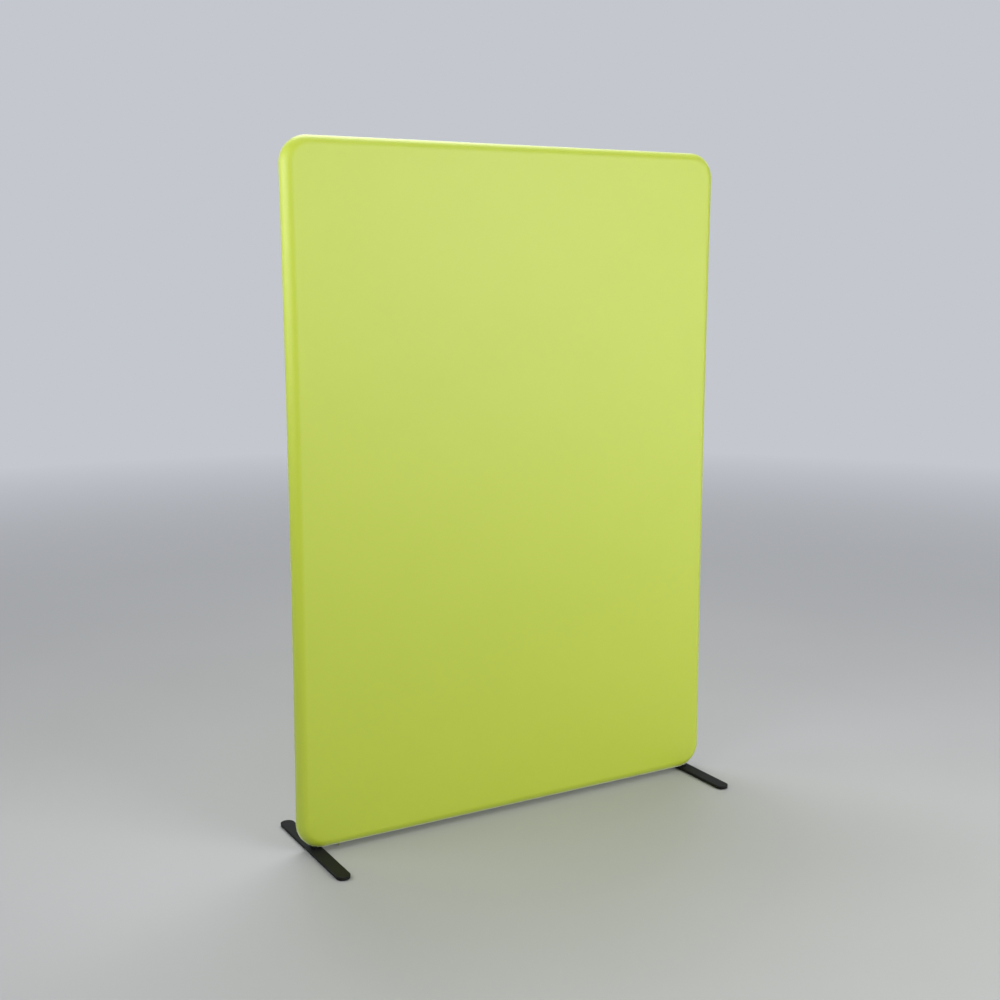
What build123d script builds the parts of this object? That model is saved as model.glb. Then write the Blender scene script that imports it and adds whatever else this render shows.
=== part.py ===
from build123d import *
import os
from math import sqrt

# Acoustic divider screen: a padded panel in a fabric sleeve, standing on two flat steel feet.
# Millimetres, +Z up. The origin is on the floor, under the middle of the panel.
# X runs along the width of the panel, and its front faces -Y.

# Panel, measured over the fabric
panel_width = 1200.0
panel_height = 1675.0
panel_thickness = 50.0
corner_radius = 65.0
seam_band = 4.0  # straight stretch left in the middle of the rounded rim

# Fabric sleeve, sewn from a front and a back half that meet in the middle of the rim
fabric_thickness = 1.2
fabric_clearance = 0.3
seam_allowance = 7.0

# Padding under the fabric
face_padding = 7.5
edge_padding = 10.5
padding_clearance = 0.3

# Timber frame
rail_width = 40.0
corner_arm = 110.0
dowel_diameter = 8.0
dowel_length = 40.0
dowel_spacing = 20.0
dowel_clearance = 0.1
dowel_end_room = 0.5
rail_screw_diameter = 5.0
rail_screw_head_diameter = 9.5
rail_screw_length = 80.0
rail_screw_sink = 3.0
rail_screw_spacing = 20.0
rail_screw_clearance = 0.1

# Sound absorbing boards in the two openings of the frame
board_clearance = 0.5

# Feet, each a flat bar with round ends
foot_length = 380.0
foot_width = 35.0
foot_thickness = 8.0
foot_from_end = 43.0  # from the side of the panel to the middle of the foot
foot_edge_rounding = 0.8
pad_diameter = 25.0
pad_thickness = 2.0

# Screws, spacer sleeves and threaded inserts that hold each foot
screw_diameter = 6.0
screw_head_diameter = 12.0
screw_head_recess = 0.2
screw_head_gap = 1.0  # least distance between the two heads of one foot
hex_socket = 4.0
hex_socket_depth = 2.2
screw_clearance = 0.3
thread_clearance = 0.05
countersink_clearance = 0.2
spacer_diameter = 11.0
spacer_clearance = 0.3
insert_diameter = 8.0
insert_length = 15.0
insert_wall = 3.0  # timber between an insert and the face of the frame
insert_clearance = 0.05
insert_end_room = 1.0
seat_margin = 1.0

# Zip in the underside of the sleeve
zip_end_gap = 50.0  # from the middle of a foot to the end of the zip's mouth
zip_mouth = 12.0
zip_height = 1.7  # middle of the coil above the underside of the panel
tape_thickness = 0.6
tape_end_gap = 2.0
coil_width = 1.9
coil_height = 2.2
coil_gap = 1.4
stop_length = 3.0
coil_end_gap = 5.0

# Zip slider and its short pull tab
slider_length = 12.0
slider_width = 10.0
slider_plate = 1.0
slider_lip = 0.8
slider_clearance = 0.3
slider_post_length = 3.0
slider_stop_gap = 0.5
arch_width = 2.0
arch_wall = 0.8
arch_opening = 2.4
pull_bar_diameter = 1.0
pull_clearance = 0.15
pull_side_clearance = 0.3
pull_width = 5.0
pull_length = 7.5
pull_corner = 1.5

# Cuts run past the faces they open by this much
overrun = 5.0

# Heights
foot_bottom = pad_thickness
foot_top = foot_bottom + foot_thickness
panel_bottom = foot_top
panel_middle = panel_bottom + panel_height / 2

# Layers, each as its distance in from the outside of the fabric
half_thickness = panel_thickness / 2
edge_radius = (panel_thickness - seam_band) / 2
padding_inset = fabric_thickness + fabric_clearance
frame_inset = padding_inset + edge_padding
frame_half_depth = half_thickness - padding_inset - face_padding
frame_depth = 2 * frame_half_depth
allowance_inset = fabric_thickness + seam_allowance

# Frame outline
frame_half_width = panel_width / 2 - frame_inset
frame_bottom = panel_bottom + frame_inset
frame_top = panel_bottom + panel_height - frame_inset
opening_half_width = frame_half_width - rail_width
rail_length = 2 * (frame_half_width - corner_arm)
stile_length = frame_top - frame_bottom - 2 * corner_arm
cross_rail_bottom = panel_middle - rail_width / 2
cross_rail_top = panel_middle + rail_width / 2

# Places of the feet and their screws
foot_x = panel_width / 2 - foot_from_end
screw_spacing = max(
    frame_depth - insert_diameter - 2 * insert_wall,
    screw_head_diameter + screw_head_gap,
)
screw_places = [(x, y) for x in (-foot_x, foot_x) for y in (-screw_spacing / 2, screw_spacing / 2)]


def arc_rise(radius, run):
    """Height that a corner arc has gained at a distance run past the end of the straight edge."""
    past = min(max(run, 0), radius)
    return radius - sqrt(radius**2 - past**2)


# The frame's corner arc lifts away over the feet, so each spacer stands in a flat seat cut into it
frame_corner_radius = corner_radius - frame_inset
straight_end = panel_width / 2 - corner_radius
seat_run = foot_x + spacer_diameter / 2 + spacer_clearance - straight_end
seat_height = frame_bottom + arc_rise(frame_corner_radius, seat_run) + seat_margin
insert_top = seat_height + insert_length

# Zip lengths and levels
mouth_half_length = foot_x - zip_end_gap
tape_half_length = mouth_half_length - tape_end_gap
coil_half_length = tape_half_length - coil_end_gap
zip_level = panel_bottom + zip_height
hem_top = panel_bottom + allowance_inset
hem_outside = zip_mouth / 2 + fabric_thickness
tape_inside = coil_gap / 2 + coil_width
slider_x = -(coil_half_length - slider_length / 2 - slider_stop_gap)
slider_gap_half = coil_height / 2 + slider_clearance
slider_bottom = zip_level - slider_gap_half - slider_plate
slider_top = zip_level + slider_gap_half + slider_plate
pull_bar_radius = pull_bar_diameter / 2
pivot_z = slider_bottom - pull_clearance - pull_bar_radius
arch_inner = pivot_z - pull_bar_radius - pull_clearance
arch_bottom = arch_inner - arch_wall
arch_half_length = arch_opening / 2 + arch_wall
pull_window = sqrt(arch_half_length**2 + (pivot_z - arch_bottom) ** 2) + pull_side_clearance


def block(x, y, z):
    """Box between two limits on each axis."""
    middle = ((x[0] + x[1]) / 2, (y[0] + y[1]) / 2, (z[0] + z[1]) / 2)
    return Pos(*middle) * Box(x[1] - x[0], y[1] - y[0], z[1] - z[0])


def upright(radius, x, y, z):
    """Cylinder that stands at x, y between two heights."""
    return Pos(x, y, (z[0] + z[1]) / 2) * Cylinder(radius, z[1] - z[0])


def crossways(radius, x, y, z):
    """Cylinder that lies along Y between two limits."""
    return Pos(x, (y[0] + y[1]) / 2, z) * Rot(90, 0, 0) * Cylinder(radius, y[1] - y[0])


def lengthways(radius, x, y, z):
    """Cylinder that lies along X between two limits."""
    return Pos((x[0] + x[1]) / 2, y, z) * Rot(0, 90, 0) * Cylinder(radius, x[1] - x[0])


def joined(pieces):
    """One shape from pieces that touch or overlap."""
    first, *others = pieces
    for piece in others:
        first = first + piece
    return first


def grouped(pieces):
    """Separate solids of one kind, kept in one group."""
    return Compound(children=[solid for piece in pieces for solid in piece.solids()])


def outline_prism(inset, y):
    """The panel's front outline, drawn in by inset and carried between two depths."""
    outline = RectangleRounded(
        panel_width - 2 * inset,
        panel_height - 2 * inset,
        corner_radius - inset,
    )
    prism = extrude(Plane.XZ * outline, amount=(y[1] - y[0]) / 2, both=True)
    return Pos(0, (y[0] + y[1]) / 2, panel_middle) * prism


def pillow(inset):
    """The panel's outside with its rounded rim, drawn in evenly by inset."""
    depth = half_thickness - inset
    body = outline_prism(inset, (-depth, depth))
    rims = body.faces().filter_by(Axis.Y).edges()
    return fillet(rims, edge_radius - inset)


def front_or_back(shape, side, start):
    """The part of a shape that lies beyond a depth start on one side: -1 is the front, 1 the back."""
    far = half_thickness + overrun
    y = sorted((side * start, side * far))
    reach = panel_width / 2 + overrun
    keep = block((-reach, reach), y, (panel_bottom - overrun, panel_bottom + panel_height + overrun))
    return shape & keep


def spacer_holes(low):
    """Upright holes for the spacer sleeves, from a height low up to the seats in the frame."""
    radius = spacer_diameter / 2 + spacer_clearance
    return joined([upright(radius, x, y, (low, seat_height)) for x, y in screw_places])


# Fabric sleeve
def cover_half(side):
    """Front or back half of the sleeve: face, rounded rim, seam allowance and the hem along the zip."""
    shell = front_or_back(pillow(0) - pillow(fabric_thickness), side, 0)
    inner = sorted((0, side * fabric_thickness))
    allowance = outline_prism(0, inner) - outline_prism(allowance_inset, inner)
    half = shell + allowance
    mouth = block(
        (-mouth_half_length, mouth_half_length),
        (-zip_mouth / 2, zip_mouth / 2),
        (panel_bottom - overrun, hem_top + overrun),
    )
    hem = block(
        (-mouth_half_length, mouth_half_length),
        sorted((side * zip_mouth / 2, side * hem_outside)),
        (panel_bottom + fabric_thickness, hem_top),
    )
    return half - mouth + hem - spacer_holes(foot_top)


# Padding
def face_sheet(side):
    """Soft sheet between the frame and the fabric, over the whole front or back."""
    return front_or_back(pillow(padding_inset), side, frame_half_depth)


def edge_strip():
    """Soft strip round the frame's rim, with a groove for the seam and a pocket for the zip."""
    y = (-frame_half_depth, frame_half_depth)
    rim = pillow(padding_inset) & outline_prism(0, y)
    core = outline_prism(frame_inset - padding_clearance, y)
    groove_half = fabric_thickness + padding_clearance
    groove_y = (-groove_half, groove_half)
    groove = outline_prism(0, groove_y) - outline_prism(allowance_inset + padding_clearance, groove_y)
    pocket_half = hem_outside + padding_clearance
    pocket_length = mouth_half_length + padding_clearance
    pocket = block(
        (-pocket_length, pocket_length),
        (-pocket_half, pocket_half),
        (panel_bottom - overrun, hem_top + padding_clearance),
    )
    return rim - core - groove - pocket - spacer_holes(foot_top)


# Timber frame
def corner_block(x_side, z_side):
    """L-shaped block with a rounded outer corner. The two lower ones carry the inserts of the feet."""
    y = (-frame_half_depth, frame_half_depth)
    corner_z = frame_top if z_side > 0 else frame_bottom
    x = sorted((x_side * (frame_half_width - corner_arm), x_side * frame_half_width))
    z = sorted((corner_z, corner_z - z_side * corner_arm))
    inner_x = sorted((x_side * (frame_half_width - corner_arm - overrun), x_side * opening_half_width))
    inner_z = sorted((corner_z - z_side * rail_width, corner_z - z_side * (corner_arm + overrun)))
    body = outline_prism(frame_inset, y) & block(x, y, z)
    body = body - block(inner_x, y, inner_z)
    return body - dowel_holes() - insert_holes()


def stile(x_side):
    """Upright side member of the frame, drilled for the dowels and the cross rail's screws."""
    x = sorted((x_side * opening_half_width, x_side * frame_half_width))
    z = (panel_middle - stile_length / 2, panel_middle + stile_length / 2)
    body = block(x, (-frame_half_depth, frame_half_depth), z)
    return body - dowel_holes() - rail_screw_holes()


def end_rail(z_side):
    """Top or bottom rail between two corner blocks."""
    outer = frame_top if z_side > 0 else frame_bottom
    z = sorted((outer, outer - z_side * rail_width))
    body = block((-rail_length / 2, rail_length / 2), (-frame_half_depth, frame_half_depth), z)
    return body - dowel_holes()


def cross_rail():
    """Middle rail that stiffens the frame between its stiles."""
    x = (-opening_half_width, opening_half_width)
    body = block(x, (-frame_half_depth, frame_half_depth), (cross_rail_bottom, cross_rail_top))
    return body - rail_screw_holes()


def dowel_rods(extra_radius, extra_length):
    """A pair of dowels across each joint between a corner block and a stile or end rail."""
    radius = dowel_diameter / 2 + extra_radius
    reach = dowel_length / 2 + extra_length
    rods = []
    for x_side in (-1, 1):
        for outer, z_side in ((frame_bottom, -1), (frame_top, 1)):
            joint_x = x_side * (frame_half_width - corner_arm)
            joint_z = outer - z_side * corner_arm
            for offset in (-dowel_spacing / 2, dowel_spacing / 2):
                level = outer - z_side * rail_width / 2 + offset
                place = x_side * (frame_half_width - rail_width / 2) + offset
                rods.append(lengthways(radius, (joint_x - reach, joint_x + reach), 0, level))
                rods.append(upright(radius, place, 0, (joint_z - reach, joint_z + reach)))
    return rods


def dowel_holes():
    """Holes that take the dowels, a little wider and deeper than they are."""
    return joined(dowel_rods(dowel_clearance, dowel_end_room))


def rail_screws(extra):
    """Countersunk wood screws driven through each stile into the ends of the cross rail."""
    radius = rail_screw_diameter / 2 + extra
    head_radius = rail_screw_head_diameter / 2 + extra
    cone_height = head_radius - radius
    screws = []
    for x_side in (-1, 1):
        head = x_side * (frame_half_width - rail_screw_sink)
        tip = head - x_side * (rail_screw_length + extra)
        for offset in (-rail_screw_spacing / 2, rail_screw_spacing / 2):
            z = panel_middle + offset
            shank = lengthways(radius, sorted((tip, head)), 0, z)
            cone = Pos(head - x_side * cone_height / 2, 0, z) * Rot(0, x_side * 90, 0)
            screws.append(shank + cone * Cone(radius, head_radius, cone_height))
    return screws


def rail_screw_holes():
    """Holes for the cross rail's screws, opened out to the stile's outer face over each head."""
    holes = rail_screws(rail_screw_clearance)
    head_radius = rail_screw_head_diameter / 2 + rail_screw_clearance
    for x_side in (-1, 1):
        x = sorted((x_side * (frame_half_width - rail_screw_sink), x_side * (frame_half_width + overrun)))
        for offset in (-rail_screw_spacing / 2, rail_screw_spacing / 2):
            holes.append(lengthways(head_radius, x, 0, panel_middle + offset))
    return joined(holes)


# Sound absorbing boards
def absorber(z):
    """Board that fills one opening of the frame between two heights."""
    half_width = opening_half_width - board_clearance
    body_z = (z[0] + board_clearance, z[1] - board_clearance)
    return block((-half_width, half_width), (-frame_half_depth, frame_half_depth), body_z)


# Feet and what holds them
def foot(x_side):
    """Flat bar with round ends and two countersunk holes under the middle of the panel's rim."""
    bar = extrude(Rot(0, 0, 90) * SlotOverall(foot_length, foot_width), amount=foot_thickness)
    bar = fillet(bar.faces().filter_by(Axis.Z).edges(), foot_edge_rounding)
    bar = Pos(x_side * foot_x, 0, foot_bottom) * bar
    hole_radius = screw_diameter / 2 + screw_clearance
    sink_radius = screw_head_diameter / 2 + countersink_clearance
    sink_depth = sink_radius - hole_radius
    sink_top = foot_bottom + screw_head_recess + sink_depth
    for x, y in screw_places:
        bar = bar - upright(hole_radius, x, y, (foot_bottom - overrun, foot_top + overrun))
        cone_middle = sink_top - sink_depth / 2
        bar = bar - Pos(x, y, cone_middle) * Cone(sink_radius, hole_radius, sink_depth)
        bar = bar - upright(sink_radius, x, y, (foot_bottom - overrun, sink_top - sink_depth))
    return bar


def foot_screw(x, y):
    """Countersunk machine screw with a hexagon socket, put in from below."""
    radius = screw_diameter / 2
    head_radius = screw_head_diameter / 2
    head_height = head_radius - radius
    low = foot_bottom + screw_head_recess
    head = Pos(x, y, low + head_height / 2) * Cone(head_radius, radius, head_height)
    shank = upright(radius, x, y, (low + head_height, insert_top))
    hexagon = RegularPolygon(hex_socket / 2, side_count=6, major_radius=False)
    socket = Pos(x, y, low) * extrude(hexagon, amount=hex_socket_depth)
    return head + shank - socket


def foot_spacer(x, y):
    """Sleeve round a screw, between the top of the foot and the seat in the frame."""
    z = (foot_top, seat_height)
    sleeve = upright(spacer_diameter / 2, x, y, z)
    return sleeve - upright(screw_diameter / 2 + screw_clearance, x, y, (z[0] - overrun, z[1] + overrun))


def insert_nut(x, y):
    """Threaded insert pressed into a lower corner block."""
    z = (seat_height, insert_top)
    body = upright(insert_diameter / 2, x, y, z)
    return body - upright(screw_diameter / 2 + thread_clearance, x, y, (z[0] - overrun, z[1] + overrun))


def insert_holes():
    """Flat seats and blind holes in the lower corner blocks for spacers and inserts."""
    radius = insert_diameter / 2 + insert_clearance
    z = (seat_height - overrun, insert_top + insert_end_room)
    nuts = [upright(radius, x, y, z) for x, y in screw_places]
    return joined([spacer_holes(foot_top), *nuts])


def foot_pad(x, y):
    """Round anti-slip pad under one end of a foot."""
    return upright(pad_diameter / 2, x, y, (0, pad_thickness))


# Zip
def zip_tape(side):
    """Woven tape: one leg sewn to the hem, the other turned in to carry the coil."""
    x = (-tape_half_length, tape_half_length)
    leg_y = sorted((side * (zip_mouth / 2 - tape_thickness), side * zip_mouth / 2))
    web_y = sorted((side * tape_inside, side * zip_mouth / 2))
    low = zip_level - tape_thickness / 2
    return block(x, leg_y, (low, hem_top)) + block(x, web_y, (low, low + tape_thickness))


def zip_coil(side):
    """One half of the coil, on the inner edge of its tape."""
    x = (-coil_half_length, coil_half_length)
    y = sorted((side * coil_gap / 2, side * tape_inside))
    return block(x, y, (zip_level - coil_height / 2, zip_level + coil_height / 2))


def zip_end_stops():
    """Two top stops, one on each tape, and a bottom stop across both."""
    z = (zip_level - coil_height / 2, zip_level + coil_height / 2)
    end = coil_half_length + stop_length
    top_x = (-end, -coil_half_length)
    top_front = block(top_x, (-tape_inside, -coil_gap / 2), z)
    top_back = block(top_x, (coil_gap / 2, tape_inside), z)
    return [top_front, top_back, block((coil_half_length, end), (-tape_inside, tape_inside), z)]


def zip_slider():
    """Two plates round the coil, held by a post between its halves, with an arch for the pull."""
    x = (slider_x - slider_length / 2, slider_x + slider_length / 2)
    y = (-slider_width / 2, slider_width / 2)
    under = zip_level - slider_gap_half
    over = zip_level + slider_gap_half
    plates = [block(x, y, (slider_bottom, under)), block(x, y, (over, slider_top))]
    tape_room = tape_thickness / 2 + slider_clearance
    for side in (-1, 1):
        lip_y = sorted((side * slider_width / 2, side * (slider_width / 2 - slider_lip)))
        plates.append(block(x, lip_y, (slider_bottom, zip_level - tape_room)))
        plates.append(block(x, lip_y, (zip_level + tape_room, slider_top)))
    post_half = coil_gap / 2 - slider_clearance
    post_x = (x[1] - slider_post_length, x[1])
    post = block(post_x, (-post_half, post_half), (slider_bottom, slider_top))
    arch_x = (slider_x - arch_half_length, slider_x + arch_half_length)
    arch_y = (-arch_width / 2, arch_width / 2)
    arch = block(arch_x, arch_y, (arch_bottom, slider_bottom))
    hole_x = (slider_x - arch_opening / 2, slider_x + arch_opening / 2)
    arch = arch - block(hole_x, (-arch_width, arch_width), (arch_inner, slider_bottom))
    return joined([*plates, post, arch])


def zip_pull():
    """Short tab that hangs from the slider's arch by a cross bar between two arms."""
    x = (slider_x - pull_bar_radius, slider_x + pull_bar_radius)
    half = pull_width / 2
    window_bottom = pivot_z - pull_window
    bar = crossways(pull_bar_radius, slider_x, (-half, half), pivot_z)
    tab = block(x, (-half, half), (pivot_z - pull_length, window_bottom))
    tab = fillet(tab.edges().filter_by(Axis.X).group_by(Axis.Z)[0], pull_corner)
    arms = []
    for side in (-1, 1):
        arm_y = sorted((side * half, side * (arch_width / 2 + pull_side_clearance)))
        arms.append(block(x, arm_y, (window_bottom, pivot_z)))
    return joined([bar, tab, *arms])


def all_parts():
    """Every node's name with its shape."""
    pad_y = (foot_length - foot_width) / 2
    pad_places = [(x, y) for x in (-foot_x, foot_x) for y in (-pad_y, pad_y)]
    return {
        "cover_front": cover_half(-1),
        "cover_back": cover_half(1),
        "padding_front": face_sheet(-1),
        "padding_back": face_sheet(1),
        "padding_edge_strip": edge_strip(),
        "frame_left_stile": stile(-1),
        "frame_right_stile": stile(1),
        "frame_top_rail": end_rail(1),
        "frame_bottom_rail": end_rail(-1),
        "frame_cross_rail": cross_rail(),
        "corner_block_top_left": corner_block(-1, 1),
        "corner_block_top_right": corner_block(1, 1),
        "corner_block_bottom_left": corner_block(-1, -1),
        "corner_block_bottom_right": corner_block(1, -1),
        "frame_dowels": grouped(dowel_rods(0, 0)),
        "cross_rail_screws": grouped(rail_screws(0)),
        "absorber_upper": absorber((cross_rail_top, frame_top - rail_width)),
        "absorber_lower": absorber((frame_bottom + rail_width, cross_rail_bottom)),
        "foot_left": foot(-1),
        "foot_right": foot(1),
        "foot_pads": grouped([foot_pad(x, y) for x, y in pad_places]),
        "foot_screws": grouped([foot_screw(x, y) for x, y in screw_places]),
        "foot_spacers": grouped([foot_spacer(x, y) for x, y in screw_places]),
        "insert_nuts": grouped([insert_nut(x, y) for x, y in screw_places]),
        "zip_tape_front": zip_tape(-1),
        "zip_tape_back": zip_tape(1),
        "zip_coil_front": zip_coil(-1),
        "zip_coil_back": zip_coil(1),
        "zip_stops": grouped(zip_end_stops()),
        "zip_slider": zip_slider(),
        "zip_pull_tab": zip_pull(),
    }


os.makedirs("parts", exist_ok=True)
for name, shape in all_parts().items():
    export_step(shape, f"parts/{name}.step")
    size = shape.bounding_box().size
    print(f"{name}: {len(shape.solids())} solid(s), {size.X:.1f} x {size.Y:.1f} x {size.Z:.1f} mm")
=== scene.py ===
# %% [markdown]
# # An acoustic divider screen
# A padded panel in a lime green fabric sleeve stands on two flat steel feet. The rigid parts come
# ready made from the CAD frame. This lesson makes the soft parts, the zip and all the finishes.
# Every soft part is a surface worked out with numpy: a shape is a function of two parameters,
# one running round the panel's outline and one running across the rim and the face.

# %% Load the frame
import math

import bmesh
import bpy
import numpy as np
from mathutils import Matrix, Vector


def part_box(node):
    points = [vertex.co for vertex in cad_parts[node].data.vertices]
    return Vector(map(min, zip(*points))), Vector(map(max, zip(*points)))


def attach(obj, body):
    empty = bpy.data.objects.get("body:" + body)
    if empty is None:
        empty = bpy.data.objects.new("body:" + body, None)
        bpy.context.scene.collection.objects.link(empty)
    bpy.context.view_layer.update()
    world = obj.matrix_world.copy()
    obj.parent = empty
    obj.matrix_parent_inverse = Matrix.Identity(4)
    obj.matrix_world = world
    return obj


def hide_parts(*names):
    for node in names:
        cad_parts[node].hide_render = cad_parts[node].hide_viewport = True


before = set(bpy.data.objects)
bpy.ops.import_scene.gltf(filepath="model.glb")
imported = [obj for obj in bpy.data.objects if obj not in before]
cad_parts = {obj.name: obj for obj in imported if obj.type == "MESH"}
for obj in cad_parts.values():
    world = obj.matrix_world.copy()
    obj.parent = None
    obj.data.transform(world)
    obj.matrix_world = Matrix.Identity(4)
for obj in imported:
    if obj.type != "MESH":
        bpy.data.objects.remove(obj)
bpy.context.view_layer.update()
mm = 0.001

# %% [markdown]
# ## The sizes everything shares
# A scene that repeats numbers drifts away from its CAD model, so the outside sizes are read from
# the frame's boxes. Only what a box can't tell, such as a radius or a cloth's thickness, is named.

# %% Read the panel's sizes
cover_low, cover_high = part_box("cover_front")
half_width = cover_high.x
half_height = (cover_high.z - cover_low.z) / 2
half_depth = -cover_low.y
panel_bottom = cover_low.z
panel_middle = (cover_high.z + cover_low.z) / 2
frame_half_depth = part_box("frame_top_rail")[1].y

corner_radius = 65 * mm
rim_flat = 2 * mm  # half of the straight stretch in the middle of the rim
rim_radius = half_depth - rim_flat
cloth = 1.2 * mm
padding_gap = 1.5 * mm  # from the outside of the cloth to the padding
allowance = 8.2 * mm  # how far the sewn-in edge of the cloth reaches into the rim
mouth_half = 6 * mm  # half the width of the opening over the zip
mouth_end = 507 * mm  # where that opening ends, to either side of the middle
print(f"panel {2 * half_width:.3f} x {2 * half_height:.3f} x {2 * half_depth:.3f} m")

# %% [markdown]
# ## The camera
# A photograph is a projection, so the camera's place decides whether the outline can ever agree.
# The place, the angles and the lens below were found by fitting the panel's outline. The place is
# in metres, heading and tilt are in radians, and the focal length and the sensor in millimetres.

# %% Place the camera
camera = bpy.data.objects.new("camera", bpy.data.cameras.new("camera"))
bpy.context.scene.collection.objects.link(camera)
heading = -0.5256
tilt = -0.1707
camera.location = (-1.7412, -2.9385, 1.4035)
camera.rotation_euler = (math.pi / 2 + tilt, 0, heading)
camera.data.sensor_width = 36
camera.data.lens = 49.49
camera.data.clip_start = 0.05
camera.data.clip_end = 200
bpy.context.scene.camera = camera
height, lens = round(camera.location.z, 3), round(camera.data.lens, 2)
print("camera height", height, "m, focal length", lens, "mm")

# %% [markdown]
# ## A short way to write materials
# A material is a network of small nodes. Written out in full it is mostly plumbing, so one helper
# makes a node, sets its options and fills its sockets. A socket given another node's socket is
# linked, and anything else becomes its value.

# %% Make the node helpers
def put(tree, kind, sockets=None, **options):
    """Adds a node of a kind, sets its options, and fills its sockets by name or number."""
    made = tree.nodes.new(kind)
    for name, value in options.items():
        setattr(made, name, value)
    for key, value in (sockets or {}).items():
        if isinstance(value, bpy.types.NodeSocket):
            tree.links.new(value, made.inputs[key])
        else:
            made.inputs[key].default_value = value
    return made


def sums(tree, operation, *values):
    """The output of one Math node, such as sums(tree, "ADD", a, b) for a + b."""
    return put(tree, "ShaderNodeMath", dict(enumerate(values)), operation=operation).outputs[0]


def noise(tree, vector, scale, detail=2.0, roughness=0.5):
    """Soft random values between 0 and 1, with scale waves to a metre."""
    sockets = {"Vector": vector, "Scale": scale, "Detail": detail, "Roughness": roughness}
    return put(tree, "ShaderNodeTexNoise", sockets).outputs["Fac"]


def between(tree, factor, first, second):
    """first where factor is 0, second where it is 1: c = (1 - f) a + f b."""
    made = put(tree, "ShaderNodeMix", {"Factor": factor}, data_type="RGBA")
    first_colour, second_colour = 6, 7
    for key, value in ((first_colour, first), (second_colour, second)):
        if isinstance(value, bpy.types.NodeSocket):
            tree.links.new(value, made.inputs[key])
        else:
            made.inputs[key].default_value = value
    return made.outputs[2]


def stretched(tree, value, low, high, new_low=0.0, new_high=1.0):
    """Value moved from the range low..high to new_low..new_high, and held inside it."""
    sockets = {"Value": value, 1: low, 2: high, 3: new_low, 4: new_high}
    return put(tree, "ShaderNodeMapRange", sockets, clamp=True).outputs[0]


print("helpers:", [helper.__name__ for helper in (put, sums, noise, between, stretched)])

# %% [markdown]
# ## Colours and finishes
# A painter reads a colour as three numbers up to 255, but a shader adds up light and wants numbers
# that grow evenly with it. So every colour below is written the painter's way and turned once. A
# finish starts as a plain shader, and patterns are wired to its sockets afterwards. They are laid
# out in the piece's own metres, so a grain keeps its size and goes along when the piece moves.

# %% Make the colour and finish helpers
def paint(red, green, blue):
    """A colour as a painter reads it, 0 to 255, turned into the linear numbers a shader wants."""
    value = np.array([red, green, blue]) / 255
    linear = np.where(value <= 0.04045, value / 12.92, ((value + 0.055) / 1.055) ** 2.4)
    return (*linear, 1.0)


def finish(name, **surface):
    """A new material with its shader, whose sockets are set from words such as Roughness=0.5."""
    made = bpy.data.materials.new(name)
    made.use_nodes = True
    shader = made.node_tree.nodes["Principled BSDF"]
    for key, value in surface.items():
        shader.inputs[key.replace("_", " ")].default_value = value
    return made, made.node_tree, shader


def grain_turned(tree, turn=(0, 0, 0), stretch=(1, 1, 1)):
    """The piece's own coordinates in metres, turned and stretched for a pattern with a grain."""
    place = put(tree, "ShaderNodeTexCoord").outputs["Object"]
    sockets = {"Vector": place, "Rotation": turn, "Scale": stretch}
    return put(tree, "ShaderNodeMapping", sockets).outputs[0]


def wire(tree, shader, colour=None, roughness=None, normal=None):
    """Links the pattern outputs to the shader's sockets."""
    for key, value in (("Base Color", colour), ("Roughness", roughness), ("Normal", normal)):
        if value is not None:
            tree.links.new(value, shader.inputs[key])


print("a mid grey of 128 is", round(paint(128, 128, 128)[0], 3), "to a shader")

# %% [markdown]
# ## The studio floor
# A pale floor, a pale sky and large soft lamps are a photographer's studio. The floor is one flat
# sheet, far wider than the view. To the camera it melts into the backdrop's colour with distance,
# so no hard horizon shows, while every other ray still meets a plain floor that takes the shadow.

# %% Lay the floor
def sheet(name, grid):
    """An open sheet from points P(i, j): quads P(i,j) P(i+1,j) P(i+1,j+1) P(i,j+1)."""
    number = np.arange(grid.shape[0] * grid.shape[1]).reshape(grid.shape[:2])
    corners = [number[:-1, :-1], number[1:, :-1], number[1:, 1:], number[:-1, 1:]]
    mesh = bpy.data.meshes.new(name)
    mesh.from_pydata(grid.reshape(-1, 3), [], np.stack(corners, -1).reshape(-1, 4))
    made = bpy.data.objects.new(name, mesh)
    bpy.context.scene.collection.objects.link(made)
    return made


floor_reach = 60
haze_start, haze_full = 1.5, 7.0  # metres from the middle of the screen
line = np.linspace(-floor_reach, floor_reach, 25)
floor_x, floor_y = np.meshgrid(line, line, indexing="ij")
floor = sheet("studio_floor", np.stack([floor_x, floor_y, np.zeros_like(floor_x)], -1))
backdrop_colour = paint(196, 199, 206)
material, tree, shader = finish("studio_floor", Roughness=0.62, Specular_IOR_Level=0.35)
place = grain_turned(tree)
clouds = noise(tree, place, 1.3, 3)
wire(tree, shader, colour=between(tree, clouds, paint(172, 173, 173), paint(178, 179, 179)))
away = put(tree, "ShaderNodeVectorMath", {0: place}, operation="LENGTH").outputs["Value"]
far = stretched(tree, away, haze_start, haze_full)
far = sums(tree, "MULTIPLY", far, put(tree, "ShaderNodeLightPath").outputs["Is Camera Ray"])
haze = put(tree, "ShaderNodeEmission", {"Color": backdrop_colour, "Strength": 1.0})
mixed = put(tree, "ShaderNodeMixShader", {0: far, 1: shader.outputs[0], 2: haze.outputs[0]})
tree.links.new(mixed.outputs[0], tree.nodes["Material Output"].inputs["Surface"])
floor.data.materials.append(material)
print("floor", floor.dimensions[0], "m wide")

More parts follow.
